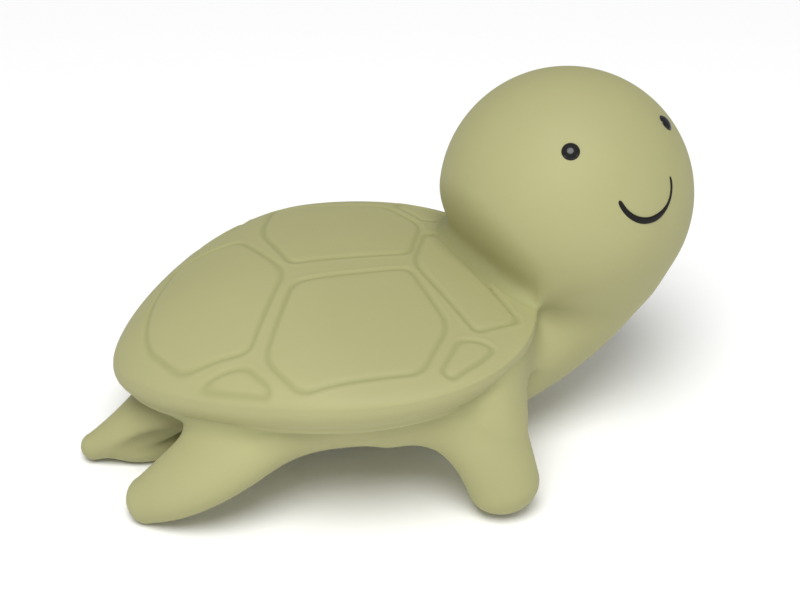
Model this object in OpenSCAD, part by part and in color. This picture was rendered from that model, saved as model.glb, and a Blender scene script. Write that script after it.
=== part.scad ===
// Squeaky bath toy: a hollow rubber turtle with a shell that is pressed and a reed squeaker in its belly.
// Millimetres, floor at zero height, +X towards the head, +Y to the turtle's left, +Z up.

/* [Shell] */
// where the shell's centre lies along X
shell_x = -14.1; // [-30:0.1:0]
// shell length from its centre to the front edge
shell_front = 47; // [30:0.5:80]
// shell length from its centre to the rear point
shell_rear = 48.2; // [30:0.2:80]
// half of the shell's greatest width
shell_half_width = 43.8; // [25:0.1:70]
// height of the shell's rim above the floor
rim_height = 34.5; // [20:0.1:60]
// rise of the dome above the rim
dome_height = 11.5; // [8:0.5:40]
// depth of the rolled lip below the rim
lip_depth = 6.5; // [4:0.1:12]
// radius of the lip's lower edge
lip_round = 2.2; // [1:0.1:4]
// how square the front of the outline is
front_round_share = 2.1; // [1.6:0.05:3.5]
// how pointed the rear of the outline is
rear_round_share = 1.72; // [1.5:0.01:2.6]
// how much wider the outline is ahead of its centre
egg_share = 0.14; // [0:0.01:0.3]
// slope of the rim, rising to the front
pitch_share = 0.105; // [0:0.005:0.2]
// droop of the rim towards the rear
droop_share = 0.11; // [0:0.01:0.2]
// fullness of the dome
dome_round_share = 0.58; // [0.5:0.01:0.9]
// lower dome towards the front
dome_tilt_share = 0.26; // [0:0.01:0.4]

/* [Press zone] */
// press zone length ahead of the shell's centre
crown_front = 22; // [15:0.5:40]
// press zone length behind the shell's centre
crown_rear = 32; // [20:0.5:50]
// half of the press zone's width
crown_half_width = 29; // [15:0.5:45]
// how square the press zone is
crown_round_share = 2.2; // [1.8:0.05:3]
// gap around the press zone
crown_gap = 0.4; // [0.3:0.05:0.8]

/* [Rubber skin] */
// thickness of the moulded skin
wall = 2.4; // [1.6:0.1:4]
// gap left at the bond lines between skin pieces
bond_gap = 0.05; // [0.02:0.01:0.2]
// how far the belly stands in from the shell's outline
belly_inset = 5.5; // [3:0.1:10]
// depth of the belly below the lip
belly_depth = 20.5; // [10:0.1:24]
// fullness of the belly
belly_round_share = 0.75; // [0.5:0.05:1]
// radius of the air passage from the body into the neck
passage_radius = 5.5; // [3:0.5:8]
// height of the air passage as a share of the rim height
passage_share = 0.6; // [0.4:0.05:0.8]

/* [Head and neck] */
// radius of the head
head_radius = 29.3; // [18:0.1:45]
// head centre, as shares of shell rear length, half width and rim height
head_at_shares = [1.18, 0.297, 1.525]; // [-2:0.001:3]
// neck start, as shares of shell rear length, half width and rim height
neck_root_shares = [0.417, 0.046, 0.71]; // [-2:0.001:3]
// neck bend
neck_bend_shares = [1.102, 0.16, 0.536]; // [-2:0.001:3]
// neck end inside the head
neck_tip_shares = [1.247, 0.285, 1.275]; // [-2:0.001:3]
// half width of the neck at start, bend and end, as shares of the shell's half width
neck_width_shares = [0.46, 0.52, 0.54]; // [0.1:0.001:1.2]
// half depth of the neck at start, bend and end
neck_depth_shares = [0.274, 0.342, 0.479]; // [0.1:0.001:1.2]

/* [Flippers and tail] */
// front flipper start, as shares of shell rear length, half width and rim height
front_root_shares = [0.595, 0.53, 0.84]; // [-2:0.001:3]
// front flipper bend
front_bend_shares = [0.666, 0.829, 0.796]; // [-2:0.001:3]
// front flipper tip
front_tip_shares = [0.73, 0.829, -0.017]; // [-2:0.001:3]
// half width of the front flipper at start, bend and tip, as shares of the shell's half width
front_width_shares = [0.318, 0.187, 0.197]; // [0.02:0.001:1]
// half thickness of the front flipper at start, bend and tip
front_depth_shares = [0.194, 0.159, 0.131]; // [0.02:0.001:1]
// rear flipper start, as shares of shell rear length, half width and rim height
rear_root_shares = [-0.214, 0.5, 0.667]; // [-2:0.001:3]
// rear flipper bend
rear_bend_shares = [-0.571, 0.685, 0.371]; // [-2:0.001:3]
// rear flipper tip
rear_tip_shares = [-0.967, 0.589, 0.026]; // [-2:0.001:3]
// half width of the rear flipper at start, bend and tip, as shares of the shell's half width
rear_width_shares = [0.318, 0.253, 0.187]; // [0.02:0.001:1]
// half thickness of the rear flipper at start, bend and tip
rear_depth_shares = [0.183, 0.159, 0.131]; // [0.02:0.001:1]
// tail start, as shares of shell rear length, half width and rim height
tail_root_shares = [-0.662, 0, 0.522]; // [-2:0.001:3]
// tail bend
tail_bend_shares = [-0.9, -0.034, 0.275]; // [-2:0.001:3]
// tail tip
tail_tip_shares = [-1.201, -0.096, 0.087]; // [-2:0.001:3]
// half width of the tail at start, bend and tip, as shares of the shell's half width
tail_width_shares = [0.274, 0.196, 0.078]; // [0.02:0.001:1]
// half depth of the tail at start, bend and tip
tail_depth_shares = [0.183, 0.142, 0.078]; // [0.02:0.001:1]
// bulge under the tail, as shares of shell rear length, half width and rim height
bulge_at_shares = [-0.817, -0.068, 0.159]; // [-2:0.001:3]
// half length, half width and half height of the bulge, as shares of the shell's half width
bulge_shares = [0.263, 0.228, 0.132]; // [0.02:0.001:1]
// where along a flipper its end starts to round off
tip_share = 0.72; // [0.5:0.01:0.9]
// thickness of the slices a limb is drawn through
slice = 0.2; // [0.05:0.01:0.6]

/* [Face] */
// turn of the face to the turtle's right, in degrees
face_turn = 63; // [0:0.1:90]
// each eye's turn from the middle of the face, in degrees
eye_turn = 39; // [10:0.2:60]
// how high the eyes look, in degrees
eye_lift = 46; // [10:0.5:70]
// radius of the bead that shows as an eye
eye_radius = 2.35; // [1:0.05:5]
// how deep the bead's centre lies below the head's surface
eye_sink = 1.05; // [0.2:0.05:3]
// how high the smile's centre looks, in degrees
smile_lift = 27; // [0:1:60]
// half opening of the cone the smile lies on, in degrees
smile_cone = 15; // [5:0.5:30]
// half of the smile's sweep, in degrees
smile_sweep = 83; // [30:1:120]
// thickness of the smile's line
smile_stroke = 1.3; // [0.6:0.1:3]

/* [Squeaker] */
// radius of the squeaker barrel where it passes the belly
squeak_radius = 6.4; // [4:0.1:9]
// radius of the outside flange
flange_radius = 8.4; // [6:0.1:12]
// thickness of the outside flange
flange_thickness = 1.2; // [0.8:0.1:2.5]
// radius of the thick collar moulded into the belly
collar_radius = 10; // [8:0.5:14]
// height of the collar
collar_height = 4.2; // [3:0.1:8]
// how far the collar stands below the belly
collar_drop = 0.6; // [0.2:0.1:2]
// radius of the barb that holds the barrel in the collar
barb_radius = 7.2; // [6.6:0.1:10]
// height of the barb
barb_height = 1.4; // [0.8:0.1:3]
// height of the barrel above the collar's lower face
barrel_height = 11.5; // [8:0.5:18]
// radius of the barrel's bore
bore_radius = 4.8; // [3:0.1:7]
// thickness of the barrel's floor
floor_thickness = 1; // [0.6:0.1:2]
// radius of the air hole in the barrel's floor
vent_radius = 1.8; // [0.8:0.1:3]
// gap between parts pressed together inside the barrel
squeak_fit = 0.05; // [0.02:0.01:0.2]
// height of the reed block
block_height = 7.4; // [5:0.1:12]
// width of the air channel in the reed block
channel_width = 2.6; // [1:0.1:4]
// depth of the air channel
channel_depth = 1.6; // [0.8:0.1:3]
// height of the wedge that clamps the reed
clamp_height = 2.2; // [1:0.1:4]
// thickness of the reed
reed_thickness = 0.3; // [0.15:0.05:0.6]
// width of the reed
reed_width = 4.4; // [2:0.1:7]
// length of the reed
reed_length = 6.8; // [4:0.1:11]
// gap on each side of the reed
reed_gap = 0.3; // [0.1:0.05:0.8]
// thickness of the cap
cap_thickness = 1.2; // [0.8:0.1:2.5]
// radius of the cap's sound holes
sound_radius = 0.8; // [0.4:0.1:1.5]
// distance of the outer sound holes from the axis
sound_ring = 2.7; // [1.5:0.1:4]
// height of the cap's ring that enters the bore
spigot_height = 0.9; // [0.5:0.1:2]
// thickness of that ring
spigot_wall = 0.8; // [0.5:0.1:1.5]

/* [Hidden] */
around = 60;
dome_rings = 9;
crown_rings = 7;
belly_rings = 8;
limb_slices = 12;
limb_facets = 22;
lip_height = rim_height - lip_depth;
belly_height = lip_height - belly_depth;
collar_low = belly_height - collar_drop;
barrel_floor = collar_low - flange_thickness + floor_thickness;
barrel_top = collar_low + barrel_height;
barrel_radius = bore_radius + floor_thickness;
span = shell_front + shell_rear + head_radius;

// Outline and surface of the shell
function turn(j) = 360 * j / around;
function blend3(v, t) = (1 - t) * (1 - t) * v[0] + 2 * t * (1 - t) * v[1] + t * t * v[2];
function oval(phi, ahead, behind, half, power) =
  pow(pow(abs(cos(phi)) / (cos(phi) > 0 ? ahead : behind), power) + pow(abs(sin(phi)) / half, power), -1 / power);
function outline_power(phi) = rear_round_share + (front_round_share - rear_round_share) * (1 + cos(phi)) / 2;
function outline(phi, inset) =
  oval(phi, shell_front - inset, shell_rear - inset, shell_half_width - inset, outline_power(phi));
function crown_line(phi) = oval(phi, crown_front, crown_rear, crown_half_width, crown_round_share);
function plan_x(phi, r) = r * cos(phi);
function plan_y(phi, r) = r * sin(phi) * (1 + egg_share * plan_x(phi, r) / shell_rear);
function rise(phi, r) =
  pitch_share * plan_x(phi, r) - droop_share * pow(min(0, plan_x(phi, r)), 2) / shell_rear;
function dome(phi, r, inset) =
  (dome_height - inset) * (1 - dome_tilt_share * plan_x(phi, r) / shell_rear)
  * pow(max(0, 1 - pow(min(1, r / outline(phi, inset)), 2)), dome_round_share);
function on_plan(phi, r, z) = [shell_x + plan_x(phi, r), plan_y(phi, r), z + rise(phi, r)];
function on_dome(phi, r, inset) = on_plan(phi, r, rim_height + dome(phi, r, inset));
function dome_ring(s, inset) = [for (j = [0:around - 1]) on_dome(turn(j), s * outline(turn(j), inset), inset)];
function flat_ring(inset, z) = [for (j = [0:around - 1]) on_plan(turn(j), outline(turn(j), inset), z)];
function crown_ring(s, inset) = [for (j = [0:around - 1]) on_dome(turn(j), s * crown_line(turn(j)), inset)];

// Rings from the press zone's edge out to the rim, spaced evenly in slope
function skirt_radius(phi, k, inset) =
  let (first = asin((crown_line(phi) + crown_gap) / outline(phi, inset)))
  outline(phi, inset) * sin(first + (90 - first) * k / dome_rings);
function skirt_ring(k, inset) =
  [for (j = [0:around - 1]) on_dome(turn(j), skirt_radius(turn(j), k, inset), inset)];

// Rings of the belly bowl, from its bottom (0) to its top edge (1)
function bowl_ring(s, inset) = [for (j = [0:around - 1])
  on_plan(turn(j), outline(turn(j), inset) * sin(90 * s),
    lip_height - (belly_depth + belly_inset - inset) * pow(cos(90 * s), belly_round_share))];
function bowl_bottom(inset) = [shell_x, 0, lip_height - (belly_depth + belly_inset - inset)];

// A closed skin through rings of points, capped by a point at each end, or joined end to start
module skin(rings, first, last) {
  count = len(rings);
  flat = [for (ring = rings, p = ring) p];
  points = concat(flat, [first, last]);
  sides = [for (i = [0:count - 2], j = [0:around - 1]) let (k = (j + 1) % around)
    each [[i * around + j, i * around + k, (i + 1) * around + k],
      [i * around + j, (i + 1) * around + k, (i + 1) * around + j]]];
  lid = [for (j = [0:around - 1]) [count * around, (j + 1) % around, j]];
  base = [for (j = [0:around - 1])
    [(count - 1) * around + j, (count - 1) * around + (j + 1) % around, count * around + 1]];
  polyhedron(points, concat(sides, lid, base), convexity = 6);
}

module loop_skin(rings) {
  count = len(rings);
  sides = [for (i = [0:count - 1], j = [0:around - 1]) let (k = (j + 1) % around, n = (i + 1) % count)
    each [[i * around + j, i * around + k, n * around + k], [i * around + j, n * around + k, n * around + j]]];
  polyhedron([for (ring = rings, p = ring) p], sides, convexity = 8);
}

// Solid space taken by the shell and by the belly, grown by a gap, for cutting their neighbours
module shell_space(grow) {
  rings = concat([for (k = [1:dome_rings]) dome_ring(sin(90 * k / dome_rings), -grow)],
    [flat_ring(-grow, lip_height - grow)]);
  skin(rings, [shell_x, 0, rim_height + dome_height + grow], [shell_x, 0, lip_height - grow]);
}

module belly_space(grow) {
  inset = belly_inset - grow;
  rings = concat([flat_ring(inset, lip_height + grow)],
    [for (k = [belly_rings:-1:1]) bowl_ring(k / belly_rings, inset)]);
  skin(rings, [shell_x, 0, lip_height + grow], bowl_bottom(inset));
}

// A limb drawn as slices along a bent line
function limb_point(s) = [shell_x + s[0] * shell_rear, s[1] * shell_half_width, s[2] * rim_height];
function unit(v) = v / norm(v);
function line_at(a, b, c, t) = blend3([a, b, c], t);
function line_way(a, b, c, t) = unit(2 * (1 - t) * (b - a) + 2 * t * (c - b));
function ease(i) = sin(90 * i / limb_slices);
function rounded(t) = t < tip_share ? 1 : sqrt(1 - 0.95 * pow((t - tip_share) / (1 - tip_share), 2));

module limb_slice(p, way, side, wide, deep) {
  across = unit(side - way * (side * way));
  up = cross(way, across);
  multmatrix([[across[0], up[0], way[0], p[0]], [across[1], up[1], way[1], p[1]], [across[2], up[2], way[2], p[2]]])
    scale([1, deep / wide, 1]) cylinder(h = slice, r = wide, $fn = limb_facets);
}

module limb(root, bend, tip, widths, depths, side, grow, rounding) {
  a = limb_point(root);
  b = limb_point(bend);
  c = limb_point(tip);
  for (i = [0:limb_slices - 1]) hull() for (k = [i, i + 1]) {
    t = ease(k);
    cut = rounding ? rounded(t) : 1;
    limb_slice(line_at(a, b, c, t), line_way(a, b, c, t), side,
      blend3(widths, t) * shell_half_width * cut + grow, blend3(depths, t) * shell_half_width * cut + grow);
  }
}

module neck(grow) {
  limb(neck_root_shares, neck_bend_shares, neck_tip_shares, neck_width_shares, neck_depth_shares,
    [0, 1, 0], grow, false);
}

module head_form(grow) {
  translate(limb_point(head_at_shares)) sphere(r = head_radius + grow, $fn = 56);
  neck(grow);
}

module below_floor() {
  translate([-span, -span, -span]) cube([2 * span, 2 * span, span]);
}

// Rubber skin pieces
module carapace_rim() {
  color([0.66, 0.65, 0.44])
  loop_skin(concat(
    [for (k = [0:dome_rings]) skirt_ring(k, 0)],
    [flat_ring(0, lip_height + lip_round), flat_ring(lip_round / 3, lip_height + lip_round / 3),
      flat_ring(lip_round, lip_height), flat_ring(belly_inset + wall, lip_height),
      flat_ring(belly_inset + wall, lip_height + wall), flat_ring(wall + lip_round, lip_height + wall),
      flat_ring(wall, lip_height + wall + lip_round)],
    [for (k = [dome_rings:-1:0]) skirt_ring(k, wall)]));
}

module carapace_crown() {
  color([0.7, 0.69, 0.48])
  skin(concat([for (k = [1:crown_rings]) crown_ring(sin(90 * k / crown_rings), 0)],
      [for (k = [crown_rings:-1:1]) crown_ring(sin(90 * k / crown_rings), wall)]),
    on_dome(0, 0, 0), on_dome(0, 0, wall));
}

module plastron() {
  inner = belly_inset + wall;
  color([0.62, 0.61, 0.4])
  difference() {
    union() {
      skin(concat([for (k = [1:belly_rings]) bowl_ring(k / belly_rings, inner)],
          [for (k = [belly_rings:-1:1]) bowl_ring(k / belly_rings, belly_inset)]),
        bowl_bottom(inner), bowl_bottom(belly_inset));
      translate([shell_x, 0, collar_low]) cylinder(h = collar_height, r = collar_radius, $fn = 64);
    }
    translate([shell_x, 0, collar_low - collar_height])
      cylinder(h = 3 * collar_height, r = squeak_radius + squeak_fit, $fn = 64);
    translate([shell_x, 0, passage_share * rim_height]) rotate([0, 90, 0])
      cylinder(h = span, r = passage_radius, $fn = 48);
  }
}

module head() {
  color([0.67, 0.66, 0.46])
  difference() {
    head_form(0);
    head_form(-wall);
    shell_space(bond_gap);
    belly_space(bond_gap);
  }
}

module on_side(side) {
  if (side > 0) children();
  else mirror([0, 1, 0]) children();
}

module front_flipper(side) {
  color([0.68, 0.67, 0.47])
  difference() {
    on_side(side)
      limb(front_root_shares, front_bend_shares, front_tip_shares, front_width_shares, front_depth_shares,
        [1, 0, 0], 0, true);
    head_form(bond_gap);
    shell_space(bond_gap);
    belly_space(bond_gap);
    below_floor();
  }
}

module rear_flipper(side) {
  color([0.68, 0.67, 0.47])
  difference() {
    on_side(side)
      limb(rear_root_shares, rear_bend_shares, rear_tip_shares, rear_width_shares, rear_depth_shares,
        [0.5, 0.85, 0], 0, true);
    shell_space(bond_gap);
    belly_space(bond_gap);
    below_floor();
  }
}

module front_left_flipper() {
  front_flipper(1);
}

module front_right_flipper() {
  front_flipper(-1);
}

module rear_left_flipper() {
  rear_flipper(1);
}

module rear_right_flipper() {
  rear_flipper(-1);
}

module tail() {
  color([0.62, 0.61, 0.42])
  difference() {
    union() {
      limb(tail_root_shares, tail_bend_shares, tail_tip_shares, tail_width_shares, tail_depth_shares,
        [0, 1, 0], 0, true);
      translate(limb_point(bulge_at_shares)) scale(bulge_shares * shell_half_width) sphere(r = 1, $fn = 40);
    }
    shell_space(bond_gap);
    belly_space(bond_gap);
    below_floor();
  }
}

// Face, placed from the head's centre
module eye(side) {
  color([0.02, 0.02, 0.02])
  translate(limb_point(head_at_shares)) difference() {
    rotate([0, -eye_lift, side * eye_turn - face_turn])
      translate([head_radius - eye_sink, 0, 0]) sphere(r = eye_radius, $fn = 120);
    sphere(r = head_radius + bond_gap, $fn = 360);
  }
}

module left_eye() {
  eye(1);
}

module right_eye() {
  eye(-1);
}

module smile() {
  color([0.02, 0.02, 0.02])
  translate(limb_point(head_at_shares)) difference() {
    rotate([0, 90 - smile_lift, -face_turn]) rotate([0, 0, -smile_sweep])
      rotate_extrude(angle = 2 * smile_sweep, $fn = 180)
      translate([head_radius * sin(smile_cone), head_radius * cos(smile_cone)])
      circle(r = smile_stroke / 2, $fn = 72);
    sphere(r = head_radius + bond_gap, $fn = 360);
  }
}

// Squeaker pieces, on an upright axis through the belly
module squeaker_barrel() {
  low = collar_low - flange_thickness;
  top = collar_low + collar_height;
  color([0.9, 0.89, 0.85])
  translate([shell_x, 0, 0]) rotate_extrude($fn = 64) polygon([
    [vent_radius, low], [flange_radius, low], [flange_radius, collar_low], [squeak_radius, collar_low],
    [squeak_radius, top], [barb_radius, top], [barrel_radius, top + barb_height], [barrel_radius, barrel_top],
    [bore_radius, barrel_top], [bore_radius, barrel_floor], [vent_radius, barrel_floor]]);
}

module half_round(high, side) {
  r = bore_radius - squeak_fit;
  linear_extrude(height = high) intersection() {
    circle(r = r, $fn = 64);
    translate([-r, side > 0 ? reed_gap + reed_thickness / 2 : -r - reed_gap - reed_thickness / 2])
      square([2 * r, r]);
  }
}

module reed_block() {
  color([0.82, 0.8, 0.72])
  translate([shell_x, 0, barrel_floor]) difference() {
    half_round(block_height, 1);
    translate([-channel_width / 2, 0, -block_height])
      cube([channel_width, reed_gap + reed_thickness / 2 + channel_depth, 3 * block_height]);
  }
}

module reed_clamp() {
  color([0.82, 0.8, 0.72])
  translate([shell_x, 0, barrel_floor]) half_round(clamp_height, -1);
}

module reed_tongue() {
  color([0.75, 0.76, 0.78])
  translate([shell_x - reed_width / 2, -reed_thickness / 2, barrel_floor + reed_gap])
    cube([reed_width, reed_thickness, reed_length]);
}

module squeaker_cap() {
  outer = bore_radius - squeak_fit;
  color([0.9, 0.89, 0.85])
  translate([shell_x, 0, barrel_top]) difference() {
    union() {
      cylinder(h = cap_thickness, r = barrel_radius, $fn = 64);
      translate([0, 0, -spigot_height]) cylinder(h = spigot_height + cap_thickness / 2, r = outer, $fn = 64);
    }
    translate([0, 0, -cap_thickness - spigot_height])
      cylinder(h = cap_thickness + spigot_height, r = outer - spigot_wall, $fn = 48);
    for (i = [0:5]) rotate([0, 0, 60 * i]) translate([i == 0 ? 0 : sound_ring, 0, -cap_thickness])
      cylinder(h = 3 * cap_thickness, r = sound_radius, $fn = 24);
  }
}

carapace_rim();
carapace_crown();
plastron();
head();
front_left_flipper();
front_right_flipper();
rear_left_flipper();
rear_right_flipper();
tail();
left_eye();
right_eye();
smile();
squeaker_barrel();
reed_block();
reed_clamp();
reed_tongue();
squeaker_cap();
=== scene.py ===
"""Looks of the squeaky bath toy: a hollow rubber turtle on a white floor.

Shapes are worked out in millimetres. Lights and camera are placed in metres.
"""

import math

import bpy
import numpy as np
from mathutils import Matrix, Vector


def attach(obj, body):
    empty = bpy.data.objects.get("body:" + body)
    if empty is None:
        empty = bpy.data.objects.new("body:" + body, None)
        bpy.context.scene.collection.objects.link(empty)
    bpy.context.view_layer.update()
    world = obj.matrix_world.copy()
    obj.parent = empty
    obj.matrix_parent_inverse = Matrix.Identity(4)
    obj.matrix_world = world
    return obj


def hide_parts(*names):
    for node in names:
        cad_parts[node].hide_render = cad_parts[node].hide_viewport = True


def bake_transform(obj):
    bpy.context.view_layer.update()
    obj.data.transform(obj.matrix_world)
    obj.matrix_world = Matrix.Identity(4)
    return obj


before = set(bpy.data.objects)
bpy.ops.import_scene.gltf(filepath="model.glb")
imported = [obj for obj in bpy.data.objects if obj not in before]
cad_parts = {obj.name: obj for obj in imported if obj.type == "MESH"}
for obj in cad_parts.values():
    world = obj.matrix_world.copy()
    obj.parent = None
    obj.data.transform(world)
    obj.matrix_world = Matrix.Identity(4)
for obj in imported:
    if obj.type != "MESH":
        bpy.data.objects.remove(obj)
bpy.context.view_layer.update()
MM = 0.001

# Shell: the plan of the part's shell, with a rim, a lip and a dome of its own
SHELL_X = -14.1
SHELL_FRONT = 47.0
SHELL_REAR = 48.2
SHELL_HALF = 43.8
FRONT_POWER = 2.1
REAR_POWER = 1.72
EGG = 0.14
RIM_HEIGHT = 36.2
PITCH = 0.035
DROOP = 0.215
DOME_HEIGHT = 8.3
DOME_POWER = 0.54
DOME_TILT = 0.6
DOME_SHARE = 0.995
LIP_DEPTH = 8.2
LIP_ROUND = 2.2
LIP_BULGE = 0.35
LIP_STEPS = 8
UNDERCUT = 2.2
UNDERSIDE_INSETS = (4.5, 6.0, 8.0, 10.0)

# Shell panels seen from above, corners as X and distance to the right of the mid-line
LARGE_PANELS = (
    ((-21.5, 4.5), (5.0, -1.5), (10.5, 21.5), (2.5, 37.0), (-23.5, 39.5), (-30.0, 29.0)),
    ((-21.5, -3.5), (6.5, -8.5), (11.0, -23.5), (3.0, -36.5), (-23.0, -37.0), (-27.0, -21.0)),
    (
        (-23.0, -0.5),
        (-33.0, 25.5),
        (-47.5, 23.0),
        (-55.0, 9.5),
        (-54.0, -3.5),
        (-46.5, -19.0),
        (-32.0, -19.5),
    ),
    ((6.5, -4.0), (16.0, 23.5), (26.5, 18.5), (14.5, -18.5), (11.5, -19.5)),
)
SMALL_PANELS = (
    ((-44.0, 28.0), (-41.5, 27.5), (-34.0, 29.0), (-29.5, 36.0), (-30.0, 37.5), (-39.0, 32.5)),
    ((12.0, 26.5), (16.5, 26.5), (19.0, 29.0), (17.5, 31.5), (8.5, 38.5), (6.5, 36.5)),
)
CORNER_ROUND = 1.0
CORNER_SHARE = 0.05
GROOVE_DEPTH = 0.34
GROOVE_HALF = 0.55
LEDGE_HEIGHT = 0.06
LEDGE_OFFSET = 1.2
LEDGE_HALF = 0.6
PANEL_RISE = 0.06
PANEL_SLOPE = 2

# Head and face
HEAD = np.array([42.7, 12.5, 53.0])
HEAD_RADIUS = 29.0
NAPE = np.array([-0.8, -0.36, -0.48])
NAPE_DEPTH = 24.3
NAPE_ROUND = 5
FACE_TURN = -60.0
EYE_TURN = 42.0
EYE_LIFT = 44.5
EYE_TILT = 1.5
EYE_RADIUS = 2.05
EYE_HEIGHT = 1.0
EYE_SINK = 0.25
SMILE_TURN = -61.5
SMILE_LIFT = 27.0
SMILE_CONE = 15.2
SMILE_START = -81
SMILE_SWEEP = 171
SMILE_HALF = 0.55
SMILE_SWELL = 0.2
SMILE_TAPER = 0.47
SMILE_HEIGHT = 0.32
SMILE_END_POWER = 24
SMILE_END_LEAST = 0.0004

# Trunk: an ellipsoid at the shell's pitch, deeper below its middle than above, and the squeaker's collar
TRUNK_X = -13.5
TRUNK_HEIGHT = 26.5
TRUNK_LONG = 42.0
TRUNK_WIDE = 36.0
TRUNK_BELOW = 17.0
TRUNK_ABOVE = 9.0
COLLAR_RADIUS = 10.0
COLLAR_LOW = 6.9
COLLAR_HIGH = 16.0

# Chest: a filling under the shell's front edge, which fades out between two places along X
CHEST_NONE = 2
CHEST_FULL = 24
CHEST_INSET = 0.2
CHEST_INSET_FADE = 9.2
CHEST_BELOW_RIM = 3.5
CHEST_ROUND = 2
CHEST_FLOOR = 26
CHEST_FLOOR_FADE = 10

# Limbs: start, bend and end points, half widths there, half depths there, and the direction of the width
NECK = (
    ((6.5, -0.5, 18), (38, 10.5, 18.5), (45.5, 11, 38.5)),
    (25, 20.5, 21.5),
    (12, 13.5, 19),
    (0, 1, 0),
)
FRONT_FLIPPER = (
    ((7, -24, 29), (15.5, -32, 26.5), (21, -34, 7.5)),
    (17, 9, 8),
    (9, 7, 7),
    (1, 0, 0.1),
)
REAR_FLIPPER = (
    ((-25.5, -21.5, 25), (-42.5, -32, 15), (-56.5, -26, 4.5)),
    (12, 12, 5.5),
    (7.5, 7, 4.7),
    (0.5, -0.85, 0),
)
TAIL = (
    ((-46, 0, 17), (-56.5, -3.5, 8.5), (-68, -3, 3.5)),
    (13, 8, 3.2),
    (7, 5.8, 3.2),
    (0, 1, 0),
)
TAIL_HOLLOW = (
    ((-66.5, -9, 3.5), (-58, -12.5, 8), (-49, -12.5, 8.5)),
    (1.2, 4.2, 3.8),
    (1.2, 4.6, 4.2),
    (0, 1, 0),
)
KEEL = (-56.5, -2, 3.5)
KEEL_RADII = (10.5, 6.5, 4.2)

# Widths over which shapes are rounded where they meet
DOME_EDGE = 0.8
LIP_EDGE = 1.6
COLLAR_JOIN = 2.5
NECK_JOIN = 6
CHEST_JOIN = 5
FRONT_JOIN = 8
REAR_JOIN = 6
KEEL_JOIN = 1.2
HOLLOW_EDGE = 0.8
TAIL_JOIN = 3
HEAD_JOIN = 4
FLOOR_EDGE = 0.8
SEAM = 2.2
NAPE_SEAM = 6.0

# Body skin on the shell: how far it lies under the shell's mesh, and how much is kept round the seams
SKIN_UNDER = 0.25
SEAM_MARGIN = 1
TOP_SHARE = 0.97
NAPE_KEPT = 0.75

# Painted shade: a darker, greener tone mixed in at the body's creases and the shell's grooves
CREASE_SHADE_TINT = 0.45
CREASE_SHADE_HALF = 1.6
GROOVE_SHADE_TINT = 0.5

# Meshing: the grid's box, a unit cube's corners and edges, and the steps of the searches
GRID_LOW = np.array([-74.0, -46.0, -1.6])
GRID_HIGH = np.array([75.0, 46.0, 86.0])
CORNERS = np.array([(i, j, k) for i in (0, 1) for j in (0, 1) for k in (0, 1)])
EDGES = [(a, b) for a in range(8) for b in range(a, 8) if np.abs(CORNERS[a] - CORNERS[b]).sum() == 1]
ROUGH = 4
BLOCK = 40000
PROBE = 0.05
LEAST_SLOPE = 0.2
LONGEST_STEP = 0.6
LIMB_SAMPLES = 25
LEAST_BEND = 0.3
NEWTON_STEPS = 3
FIRST_RING = 0.004
POLE = 89.5
FAR = 50.0


# Smooth joining of shapes
def smooth_low(a, b, k):
    """Lower of a and b, rounded over a width k.

    b + (a - b) h - k h (1 - h), with h = 0.5 + 0.5 (b - a) / k kept within 0 to 1.
    """
    h = np.clip(0.5 + 0.5 * (b - a) / k, 0, 1)
    return b + (a - b) * h - k * h * (1 - h)


def smooth_high(a, b, k):
    """Higher of a and b, rounded over a width k."""
    return -smooth_low(-a, -b, k)


def ease(v, low, high):
    """Smooth step 3 t^2 - 2 t^3 of v from low to high."""
    t = np.clip((v - low) / (high - low), 0, 1)
    return t * t * (3 - 2 * t)


# Shell surface
def outline(phi, inset):
    """Distance from the shell's centre to its edge: a superellipse whose power goes from rear to front."""
    power = REAR_POWER + (FRONT_POWER - REAR_POWER) * (1 + np.cos(phi)) / 2
    along = np.where(np.cos(phi) > 0, SHELL_FRONT, SHELL_REAR) - inset
    across = SHELL_HALF - inset
    return ((np.abs(np.cos(phi)) / along) ** power + (np.abs(np.sin(phi)) / across) ** power) ** (-1 / power)


def plan(phi, r):
    """X from the shell's centre, and Y widened towards the front by the egg share."""
    x = r * np.cos(phi)
    return x, r * np.sin(phi) * (1 + EGG * x / SHELL_REAR)


def shell_share(x, y):
    """Share of the way from the shell's centre to its edge, and the distance to the edge."""
    v = y / (1 + EGG * x / SHELL_REAR)
    edge = outline(np.arctan2(v, x), 0.0)
    return np.hypot(x, v) / edge, edge


def rim_height(x):
    """Height of the rim: a straight rise to the front, and a droop with the square of the way to the rear."""
    return RIM_HEIGHT + PITCH * x - DROOP * np.minimum(x, 0) ** 2 / SHELL_REAR


def dome_height(x, share):
    """Height above the rim: DOME_HEIGHT (1 - DOME_TILT x / SHELL_REAR) (1 - share^2)^DOME_POWER."""
    return DOME_HEIGHT * (1 - DOME_TILT * x / SHELL_REAR) * np.maximum(1 - share**2, 0) ** DOME_POWER


def shell_gap(p):
    """Distance-like value of the shell: above its dome, outside its edge or below its lip is positive.

    The height above the dome is divided by the length that the dome's slope gives. The slope has no bound at
    the edge, so the share is held just below 1.
    """
    x = p[:, 0] - SHELL_X
    share, edge = shell_share(x, p[:, 1])
    inner = np.minimum(share, DOME_SHARE)
    rim = rim_height(x)
    slope = 2 * DOME_POWER * DOME_HEIGHT * inner / edge * (1 - inner**2) ** (DOME_POWER - 1)
    above = (p[:, 2] - rim - dome_height(x, inner)) / np.sqrt(1 + slope**2)
    under = np.clip((rim - p[:, 2]) / (LIP_DEPTH - LIP_ROUND), 0, 1)
    outside = (share - 1) * edge + UNDERCUT * under**2
    below = rim - LIP_DEPTH - p[:, 2]
    return smooth_high(smooth_high(above, outside, DOME_EDGE), below, LIP_EDGE)


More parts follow.
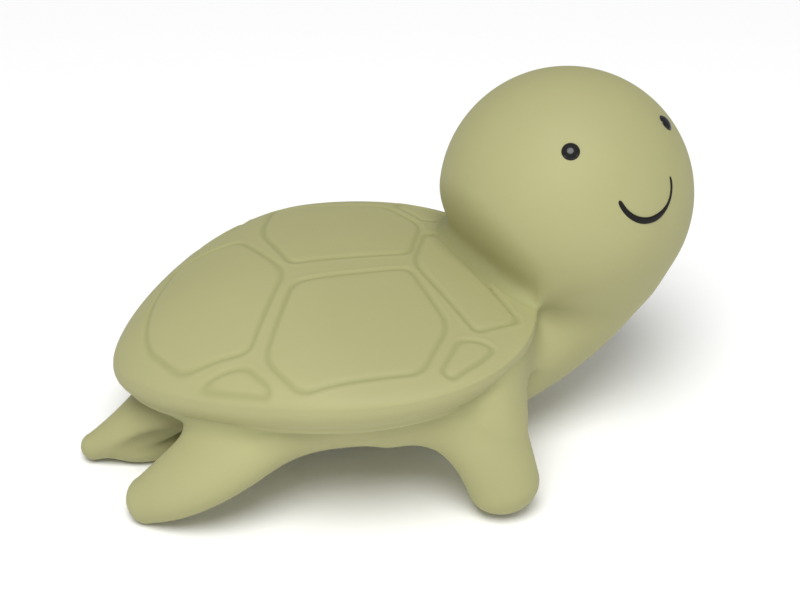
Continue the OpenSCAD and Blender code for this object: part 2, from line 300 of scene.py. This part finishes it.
# Body of the toy as one smooth shape
def ellipse_gap(parts, radii):
    """Distance-like value k (k - 1) / g of an ellipse or ellipsoid.

    k is the length of parts over radii, and g the length of parts over radii squared.
    """
    k = np.sqrt(sum((a / r) ** 2 for a, r in zip(parts, radii)))
    g = np.sqrt(sum((a / r**2) ** 2 for a, r in zip(parts, radii)))
    return k * (k - 1) / np.maximum(g, 1e-6)


def limb_gap(p, line, wide, deep, side):
    """Distance-like value of elliptical slices along a quadratic curve with start, bend and end points.

    The nearest place on the curve is found from samples and a few Newton steps. The slice's half width and
    half depth there are quadratic blends of the three given values, and the ends are round.
    """
    a, b, c = (np.array(v, float) for v in line)
    t = np.linspace(0, 1, LIMB_SAMPLES)
    curve = ((1 - t) ** 2)[:, None] * a + (2 * t * (1 - t))[:, None] * b + (t * t)[:, None] * c
    t = np.argmin((curve**2).sum(1)[None] - 2 * p @ curve.T, axis=1) / (LIMB_SAMPLES - 1)
    turn = 2 * (a - 2 * b + c)
    for _ in range(NEWTON_STEPS):
        way = 2 * (b - a) + t[:, None] * turn
        off = a + t[:, None] * 2 * (b - a) + (t * t)[:, None] * turn / 2 - p
        speed = (way * way).sum(1)
        bend = np.maximum(speed + off @ turn, LEAST_BEND * speed)
        t = np.clip(t - (off * way).sum(1) / bend, 0, 1)
    way = 2 * (b - a) + t[:, None] * turn
    off = p - (a + t[:, None] * 2 * (b - a) + (t * t)[:, None] * turn / 2)
    way /= np.linalg.norm(way, axis=1)[:, None]
    across = np.array(side, float) - way * (way @ np.array(side, float))[:, None]
    across /= np.linalg.norm(across, axis=1)[:, None]
    up = np.cross(way, across)
    w = (1 - t) ** 2 * wide[0] + 2 * t * (1 - t) * wide[1] + t * t * wide[2]
    h = (1 - t) ** 2 * deep[0] + 2 * t * (1 - t) * deep[1] + t * t * deep[2]
    parts = [(off * v).sum(1) for v in (across, up, way)]
    return ellipse_gap(parts, (w, h, np.minimum(w, h)))


def head_gap(p):
    """Distance-like value of the head: a sphere flattened at the nape by a plane square to NAPE."""
    off = p - HEAD
    sphere = np.linalg.norm(off, axis=1) - HEAD_RADIUS
    return smooth_high(sphere, off @ NAPE - NAPE_DEPTH, NAPE_ROUND)


def trunk_gap(p):
    """Distance-like value of the trunk with the collar that holds the squeaker."""
    x, y, z = p.T
    level = z - PITCH * (x - SHELL_X)
    depth = np.where(level < TRUNK_HEIGHT, TRUNK_BELOW, TRUNK_ABOVE)
    trunk = ellipse_gap((x - TRUNK_X, y, level - TRUNK_HEIGHT), (TRUNK_LONG, TRUNK_WIDE, depth))
    collar = np.maximum(np.hypot(x - SHELL_X, y) - COLLAR_RADIUS, np.maximum(COLLAR_LOW - z, z - COLLAR_HIGH))
    return smooth_low(trunk, collar, COLLAR_JOIN)


def chest_gap(p):
    """Distance-like value of the chest: the shell's plan, set in by an inset and cut below the rim."""
    x, y, z = p.T
    share, edge = shell_share(x - SHELL_X, y)
    fade = 1 - ease(x, CHEST_NONE, CHEST_FULL)
    wall = (share - 1) * edge + CHEST_INSET + CHEST_INSET_FADE * fade
    chest = smooth_high(wall, z - rim_height(x - SHELL_X) + CHEST_BELOW_RIM, CHEST_ROUND)
    return np.maximum(chest, CHEST_FLOOR + CHEST_FLOOR_FADE * fade - z)


def tail_gap(p, near):
    """Distance-like value of tail and keel, less a hollow on each side. near is p mirrored to the right."""
    keel = ellipse_gap((p - KEEL).T, KEEL_RADII)
    tail = smooth_low(limb_gap(p, *TAIL), keel, KEEL_JOIN)
    return smooth_high(tail, -limb_gap(near, *TAIL_HOLLOW), HOLLOW_EDGE)


def body_gap(p):
    """Distance-like value of trunk, neck, chest, flippers, tail and head, joined and cut at the floor."""
    near = np.stack([p[:, 0], -np.abs(p[:, 1]), p[:, 2]], 1)
    d = trunk_gap(p)
    d = smooth_low(d, limb_gap(p, *NECK), NECK_JOIN)
    d = smooth_low(d, chest_gap(p), CHEST_JOIN)
    d = smooth_low(d, limb_gap(near, *FRONT_FLIPPER), FRONT_JOIN)
    d = smooth_low(d, limb_gap(near, *REAR_FLIPPER), REAR_JOIN)
    d = smooth_low(d, tail_gap(p, near), TAIL_JOIN)
    d = smooth_low(d, head_gap(p), HEAD_JOIN)
    return smooth_high(d, -p[:, 2], FLOOR_EDGE)


def toy_gap(p):
    """Body and shell with a soft seam where they meet, and a wider one between head and shell.

    The shell is drawn a little smaller here, so that it stays hidden under its own mesh.
    """
    shell = shell_gap(p) + SKIN_UNDER
    return np.minimum(smooth_low(body_gap(p), shell, SEAM), smooth_low(head_gap(p), shell, NAPE_SEAM))


# Meshing of a smooth shape
def in_blocks(field, p):
    """A field's values at many points, worked out block by block."""
    return np.concatenate([field(q) for q in np.array_split(p, max(1, len(p) // BLOCK))])


def grid_values(field, low, high, pitch, reach):
    """A field on a grid of cubes, worked out at every fourth point first, then finely near the surface."""
    shape = (np.ceil((high - low) / pitch / ROUGH).astype(int)) * ROUGH + 1
    axes = [low[i] + pitch * np.arange(shape[i]) for i in range(3)]
    rough = np.stack(np.meshgrid(*[a[::ROUGH] for a in axes], indexing="ij"), -1)
    values = in_blocks(field, rough.reshape(-1, 3)).reshape(rough.shape[:3])
    for i in range(3):
        values = np.repeat(values, ROUGH, axis=i)
        values = np.take(values, np.arange(shape[i]) + ROUGH // 2, axis=i, mode="clip")
    spots = np.nonzero(np.abs(values) < reach)
    values[spots] = in_blocks(field, np.stack([axes[i][spots[i]] for i in range(3)], 1))
    return values


def surface_net(values, low, pitch):
    """Quads through the cubes that a surface crosses, cornered at the mean of each cube's edge crossings."""
    inside = values < 0
    size = np.array(values.shape) - 1
    count = np.zeros(size, np.int8)
    for i, j, k in CORNERS:
        count += inside[i : i + size[0], j : j + size[1], k : k + size[2]]
    cells = np.stack(np.nonzero((count > 0) & (count < 8)), 1)
    v = np.stack([values[tuple((cells + c).T)] for c in CORNERS], 1)
    total = np.zeros((len(cells), 3))
    crossings = np.zeros(len(cells))
    for a, b in EDGES:
        cut = (v[:, a] < 0) != (v[:, b] < 0)
        t = v[cut, a] / (v[cut, a] - v[cut, b])
        total[cut] += CORNERS[a] + t[:, None] * (CORNERS[b] - CORNERS[a])
        crossings[cut] += 1
    points = low + pitch * (cells + total / crossings[:, None])
    number = np.full(tuple(size), -1)
    number[tuple(cells.T)] = np.arange(len(cells))
    quads = []
    for axis in range(3):
        one, two = (axis + 1) % 3, (axis + 2) % 3
        first = np.take(inside, range(values.shape[axis] - 1), axis)
        second = np.take(inside, range(1, values.shape[axis]), axis)
        at = np.stack(np.nonzero(first != second), 1)
        at = at[(at[:, one] > 0) & (at[:, two] > 0) & (at[:, one] < size[one]) & (at[:, two] < size[two])]
        step_one, step_two = np.eye(3, dtype=int)[one], np.eye(3, dtype=int)[two]
        ring = [at - step_one - step_two, at - step_two, at, at - step_one]
        quad = np.stack([number[tuple(r.T)] for r in ring], 1)
        leaving = first[tuple(at.T)]
        quads += [quad[leaving], quad[~leaving][:, ::-1]]
    return points, np.concatenate(quads)


def onto_surface(field, p):
    """Points moved onto a field's zero by Newton steps along its slope, each held to LONGEST_STEP slopes."""
    for _ in range(NEWTON_STEPS):
        value = in_blocks(field, p)
        slope = np.stack([(in_blocks(field, p + PROBE * e) - value) / PROBE for e in np.eye(3)], 1)
        step = value / np.maximum((slope**2).sum(1), LEAST_SLOPE)
        p = p - np.clip(step, -LONGEST_STEP, LONGEST_STEP)[:, None] * slope
    return p


# Making objects
def mesh_object(name, points, faces, material):
    """A smooth-shaded mesh from points in millimetres."""
    mesh = bpy.data.meshes.new(name)
    mesh.from_pydata((points * MM).tolist(), [], faces)
    mesh.polygons.foreach_set("use_smooth", np.ones(len(mesh.polygons), bool))
    mesh.materials.append(material)
    mesh.update()
    obj = bpy.data.objects.new(name, mesh)
    bpy.context.collection.objects.link(obj)
    return obj


def set_value(obj, name, values):
    """A number at each corner point, for the material to read."""
    layer = obj.data.attributes.new(name, "FLOAT", "POINT")
    layer.data.foreach_set("value", values.astype(np.float32))


def grid_faces(rows, columns):
    """Quads of a grid of points that closes on itself along its columns."""
    i, j = np.meshgrid(np.arange(rows - 1), np.arange(columns), indexing="ij")
    this, below = i * columns, (i + 1) * columns
    k = (j + 1) % columns
    return np.stack([this + j, below + j, below + k, this + k], -1).reshape(-1, 4)


# Materials
def plain(name, colour, rough, specular=0.5):
    """A single-colour material."""
    made = bpy.data.materials.new(name)
    made.use_nodes = True
    inputs = made.node_tree.nodes["Principled BSDF"].inputs
    inputs["Base Color"].default_value = (*colour, 1)
    inputs["Roughness"].default_value = rough
    inputs["Specular IOR Level"].default_value = specular
    return made


def rubber():
    """Matte rubber: faint mottling, a darker greener tone painted in creases and grooves as shade, and a very
    fine grain.
    """
    made = plain("skin_rubber", (0.36, 0.352, 0.168), 0.62, 0.3)
    tree = made.node_tree
    shader = tree.nodes["Principled BSDF"]
    place = tree.nodes.new("ShaderNodeTexCoord")
    mottle = tree.nodes.new("ShaderNodeTexNoise")
    mottle.inputs["Scale"].default_value = 60
    mottle.inputs["Detail"].default_value = 3
    tone = tree.nodes.new("ShaderNodeMix")
    tone.data_type = "RGBA"
    tone.inputs["A"].default_value = (0.35, 0.342, 0.162, 1)
    tone.inputs["B"].default_value = (0.37, 0.361, 0.172, 1)
    # Painted shade: a value at each point mixes the colour towards a darker green in creases and grooves
    crease_shade = tree.nodes.new("ShaderNodeAttribute")
    crease_shade.attribute_name = "crease_shade"
    shade_tint = tree.nodes.new("ShaderNodeMix")
    shade_tint.data_type = "RGBA"
    shade_tint.inputs["B"].default_value = (0.26, 0.272, 0.112, 1)
    grain = tree.nodes.new("ShaderNodeTexNoise")
    grain.inputs["Scale"].default_value = 1800
    bump = tree.nodes.new("ShaderNodeBump")
    bump.inputs["Strength"].default_value = 0.06
    bump.inputs["Distance"].default_value = 0.0002
    link = tree.links.new
    link(place.outputs["Object"], mottle.inputs["Vector"])
    link(place.outputs["Object"], grain.inputs["Vector"])
    link(mottle.outputs["Fac"], tone.inputs["Factor"])
    link(tone.outputs["Result"], shade_tint.inputs["A"])
    link(crease_shade.outputs["Fac"], shade_tint.inputs["Factor"])
    link(shade_tint.outputs["Result"], shader.inputs["Base Color"])
    link(grain.outputs["Fac"], bump.inputs["Height"])
    link(bump.outputs["Normal"], shader.inputs["Normal"])
    return made


skin = rubber()
eye_paint = plain("eye_paint", (0.012, 0.011, 0.011), 0.18, 0.28)
line_paint = plain("line_paint", (0.01, 0.009, 0.008), 0.5, 0.15)
squeaker_plastic = plain("squeaker_plastic", (0.8, 0.79, 0.74), 0.35)
reed_plastic = plain("reed_plastic", (0.6, 0.62, 0.65), 0.3)
floor_white = plain("floor_white", (0.95, 0.95, 0.95), 0.9)


# Body skin: trunk, neck, head, flippers and tail in one piece
def body_skin():
    """The outer face of toy_gap, without most of what lies on the shell, which the shell's own mesh shows.

    On top of the shell only the fillet at the nape is kept, so nothing is left behind when the crown sinks.
    """
    pitch = 0.8
    values = grid_values(toy_gap, GRID_LOW, GRID_HIGH, pitch, 5 * pitch)
    points, quads = surface_net(values, GRID_LOW, pitch)
    points = onto_surface(toy_gap, points)
    x = points[:, 0] - SHELL_X
    share = shell_share(x, points[:, 1])[0]
    on_top = (share < TOP_SHARE) & (points[:, 2] > rim_height(x) + SEAM_MARGIN)
    head = in_blocks(head_gap, points)
    off_seams = (in_blocks(body_gap, points) > SEAM + SEAM_MARGIN) & (head > NAPE_SEAM + SEAM_MARGIN)
    away = off_seams | (on_top & (head > NAPE_KEPT * NAPE_SEAM))
    quads = quads[~away[quads].all(1)]
    used = np.unique(quads)
    number = np.full(len(points), -1)
    number[used] = np.arange(len(used))
    obj = mesh_object("body_skin", points[used], number[quads].tolist(), skin)
    # Painted shade: darker and greener near the seam between body and shell, fading with distance from the
    # shell
    shell = in_blocks(shell_gap, points)[used]
    set_value(obj, "crease_shade", CREASE_SHADE_TINT * np.exp(-((shell / CREASE_SHADE_HALF) ** 2)))
    return obj


# Shell with its panels
def panel_depth(x, y):
    """How far a point of the plan lies inside the nearest panel: the lowest of its distances from the sides.

    The small panels lie on both sides of the mid-line.
    """
    best = np.full(x.shape, -FAR)
    for corners in LARGE_PANELS + SMALL_PANELS:
        right = -y if corners in LARGE_PANELS else np.abs(y)
        c = np.array(corners)
        middle = c.mean(0)
        rounding = CORNER_ROUND + CORNER_SHARE * np.sqrt(np.ptp(c, axis=0).prod())
        inside = np.full(x.shape, FAR)
        for a, b in zip(c, np.roll(c, -1, axis=0)):
            normal = np.array([a[1] - b[1], b[0] - a[0]]) / np.hypot(*(b - a))
            normal = normal if normal @ (middle - a) > 0 else -normal
            side = (x - a[0]) * normal[0] + (right - a[1]) * normal[1]
            inside = smooth_low(inside, side, rounding)
        best = np.maximum(best, inside)
    return best


def lip_rings():
    """Inset from the rim and depth below it: down the lip's bulged side, round its edge and in under it."""
    drop = LIP_DEPTH - LIP_ROUND
    rings = []
    for s in np.linspace(0, 1, LIP_STEPS + 1)[1:]:
        rings.append((UNDERCUT * s**2 - LIP_BULGE * math.sin(math.pi * s), drop * s))
    for a in np.radians(np.linspace(0, 90, LIP_STEPS + 1)[1:]):
        rings.append((UNDERCUT + LIP_ROUND * (1 - math.cos(a)), drop + LIP_ROUND * math.sin(a)))
    return rings + [(inset, LIP_DEPTH) for inset in UNDERSIDE_INSETS]


def carapace():
    """Rings from the dome's top to the rim and over the lip, moved along their normals by the panels' relief.

    With d the depth inside a panel, the relief is the sum of a groove -GROOVE_DEPTH exp(-(d / GROOVE_HALF)^2),
    a low ledge outside it LEDGE_HEIGHT exp(-((d + LEDGE_OFFSET) / LEDGE_HALF)^2), and PANEL_RISE times the
    smooth step of d from 0 to PANEL_SLOPE.
    """
    columns = 560
    dome_rings = 130
    turns = np.linspace(0, 2 * np.pi, columns, endpoint=False)
    rows = []
    for s in np.sin(np.linspace(FIRST_RING, 1, dome_rings) * np.pi / 2):
        x, y = plan(turns, s * outline(turns, 0.0))
        rows.append(np.stack([x, y, rim_height(x) + dome_height(x, np.full_like(x, s))], 1))
    for inset, down in lip_rings():
        x, y = plan(turns, outline(turns, inset))
        rows.append(np.stack([x, y, rim_height(x) - down], 1))
    p = np.array(rows)
    along = np.gradient(p, axis=0)
    around = np.roll(p, -1, axis=1) - np.roll(p, 1, axis=1)
    normal = np.cross(along, around)
    normal /= np.linalg.norm(normal, axis=2)[..., None]
    depth = panel_depth(p[..., 0] + SHELL_X, p[..., 1])
    depth[dome_rings:] = -FAR
    groove = np.exp(-((depth / GROOVE_HALF) ** 2))
    ledge = np.exp(-(((depth + LEDGE_OFFSET) / LEDGE_HALF) ** 2))
    relief = LEDGE_HEIGHT * ledge - GROOVE_DEPTH * groove + PANEL_RISE * ease(depth, 0, PANEL_SLOPE)
    p = p + relief[..., None] * normal
    top = p[0].mean(0)
    points = np.concatenate([p.reshape(-1, 3), top[None]]) + (SHELL_X, 0, 0)
    j = np.arange(columns)
    lid = np.stack([np.full(columns, len(points) - 1), j, (j + 1) % columns], 1)
    obj = mesh_object("carapace", points, grid_faces(len(p), columns).tolist() + lid.tolist(), skin)
    # Painted shade: darker and greener along the panels' grooves
    set_value(obj, "crease_shade", np.append(GROOVE_SHADE_TINT * groove.ravel(), 0))
    return obj


# Face
def direction(turn, lift):
    """Unit vector at an angle from +X about Z, raised above the level."""
    a, e = math.radians(turn), math.radians(lift)
    return np.array([math.cos(a) * math.cos(e), math.sin(a) * math.cos(e), math.sin(e)])


def eye(name, side):
    """A glossy flat bead on the head: rings of an ellipsoid whose short axis stands square on the head."""
    rows, columns = 40, 64
    out = direction(FACE_TURN + side * EYE_TURN, EYE_LIFT - side * EYE_TILT)
    along = direction(FACE_TURN + side * EYE_TURN + 90, 0)
    up = np.cross(out, along)
    lift = np.radians(np.linspace(-POLE, POLE, rows))
    turn = np.linspace(0, 2 * np.pi, columns, endpoint=False)
    ring = EYE_RADIUS * (np.cos(turn)[:, None] * along + np.sin(turn)[:, None] * up)
    p = np.concatenate([ring * math.cos(e) + EYE_HEIGHT * math.sin(e) * out for e in lift])
    faces = grid_faces(rows, columns)[:, ::-1].tolist()
    return mesh_object(name, HEAD + (HEAD_RADIUS - EYE_SINK) * out + p, faces, eye_paint)


def smile():
    """A painted line along a circle on the head: elliptical sections, thick in the middle, thin at one end."""
    rows, columns = 90, 20
    axis = direction(SMILE_TURN, SMILE_LIFT)
    down = -np.array([0, 0, 1.0]) + axis * axis[2]
    down /= np.linalg.norm(down)
    side = np.cross(axis, down)
    cone = math.radians(SMILE_CONE)
    s = np.linspace(0, 1, rows)
    turn = np.radians(SMILE_START + SMILE_SWEEP * s)
    across = np.cos(turn)[:, None] * down + np.sin(turn)[:, None] * side
    out = math.cos(cone) * axis + math.sin(cone) * across
    line = onto_surface(body_gap, HEAD + HEAD_RADIUS * out)
    across -= out * (across * out).sum(1)[:, None]
    across /= np.linalg.norm(across, axis=1)[:, None]
    end = np.sqrt(np.clip(1 - (np.abs(2 * s - 1) ** SMILE_END_POWER), SMILE_END_LEAST, 1))
    half = (SMILE_HALF + SMILE_SWELL * ease(s, 0, 0.4) - SMILE_TAPER * ease(s, 0.5, 0.8)) * end
    angle = np.linspace(0, 2 * np.pi, columns, endpoint=False)
    p = line[:, None] + half[:, None, None] * np.cos(angle)[None, :, None] * across[:, None]
    p = p + (SMILE_HEIGHT * end)[:, None, None] * np.sin(angle)[None, :, None] * out[:, None]
    return mesh_object("smile_line", p.reshape(-1, 3), grid_faces(rows, columns).tolist(), line_paint)


# The pieces, each for its CAD nodes
body = body_skin()
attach(body, "toy")
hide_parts("plastron", "head", "tail")
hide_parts("front_left_flipper", "front_right_flipper", "rear_left_flipper", "rear_right_flipper")

shell = carapace()
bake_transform(shell)
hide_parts("carapace_rim", "carapace_crown")

for name, side, node in (("bead_left", 1, "left_eye"), ("bead_right", -1, "right_eye")):
    made = eye(name, side)
    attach(made, "toy")
    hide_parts(node)

mouth = smile()
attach(mouth, "toy")
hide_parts("smile")

squeaker = dict.fromkeys(("squeaker_barrel", "reed_block", "reed_clamp", "squeaker_cap"), squeaker_plastic)
squeaker["reed_tongue"] = reed_plastic
for node, material in squeaker.items():
    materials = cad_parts[node].data.materials
    materials.clear()
    materials.append(material)


# Stage, light and camera
FLOOR_HALF = 3000.0
WORLD_STRENGTH = 0.38
CAMERA_AIM = Vector((0, 0, 0.038))
CAMERA_DISTANCE = 0.43
CAMERA_TURN = -7.5
CAMERA_LIFT = 31


def light(name, place, aim, size, power, cone=None):
    """A soft light aimed at a point: a round area, or a spot whose cone, in degrees, fades to its edge."""
    data = bpy.data.lights.new(name, "SPOT" if cone else "AREA")
    if cone:
        data.shadow_soft_size = size / 2
        data.spot_size = math.radians(cone)
        data.spot_blend = 1
    else:
        data.shape = "DISK"
        data.size = size
    data.energy = power
    obj = bpy.data.objects.new(name, data)
    obj.location = place
    obj.rotation_euler = (Vector(aim) - Vector(place)).to_track_quat("-Z", "Y").to_euler()
    bpy.context.collection.objects.link(obj)


square = np.array([(-1, -1, 0), (1, -1, 0), (1, 1, 0), (-1, 1, 0)]) * FLOOR_HALF
floor = mesh_object("floor", square, [[0, 1, 2, 3]], floor_white)

scene = bpy.context.scene
scene.view_settings.view_transform = "Standard"
scene.view_settings.look = "None"
world = bpy.data.worlds.new("white_room")
scene.world = world
world.use_nodes = True
background = world.node_tree.nodes["Background"].inputs
background["Color"].default_value = (1, 1, 1, 1)
background["Strength"].default_value = WORLD_STRENGTH
light("key", place=(-0.2, -0.85, 1.8), aim=(0, 0, 0.04), size=1.3, power=37)
light("fill", place=(0.7, -0.6, 0.25), aim=(0, 0, 0.05), size=0.5, power=0.8)
light("nape", place=(-0.45, -0.3, 0.085), aim=(0.026, -0.006, 0.037), size=0.1, power=7, cone=8)

lens = bpy.data.cameras.new("camera")
lens.lens = 86.1
lens.sensor_width = 36
lens.shift_x = 0.015
lens.shift_y = -0.015
lens.clip_start = 0.01
camera = bpy.data.objects.new("camera", lens)
turn, lift = math.radians(CAMERA_TURN), math.radians(CAMERA_LIFT)
back = Vector((math.sin(turn) * math.cos(lift), -math.cos(turn) * math.cos(lift), math.sin(lift)))
camera.location = CAMERA_AIM + CAMERA_DISTANCE * back
camera.rotation_euler = (-back).to_track_quat("-Z", "Y").to_euler()
bpy.context.collection.objects.link(camera)
scene.camera = camera
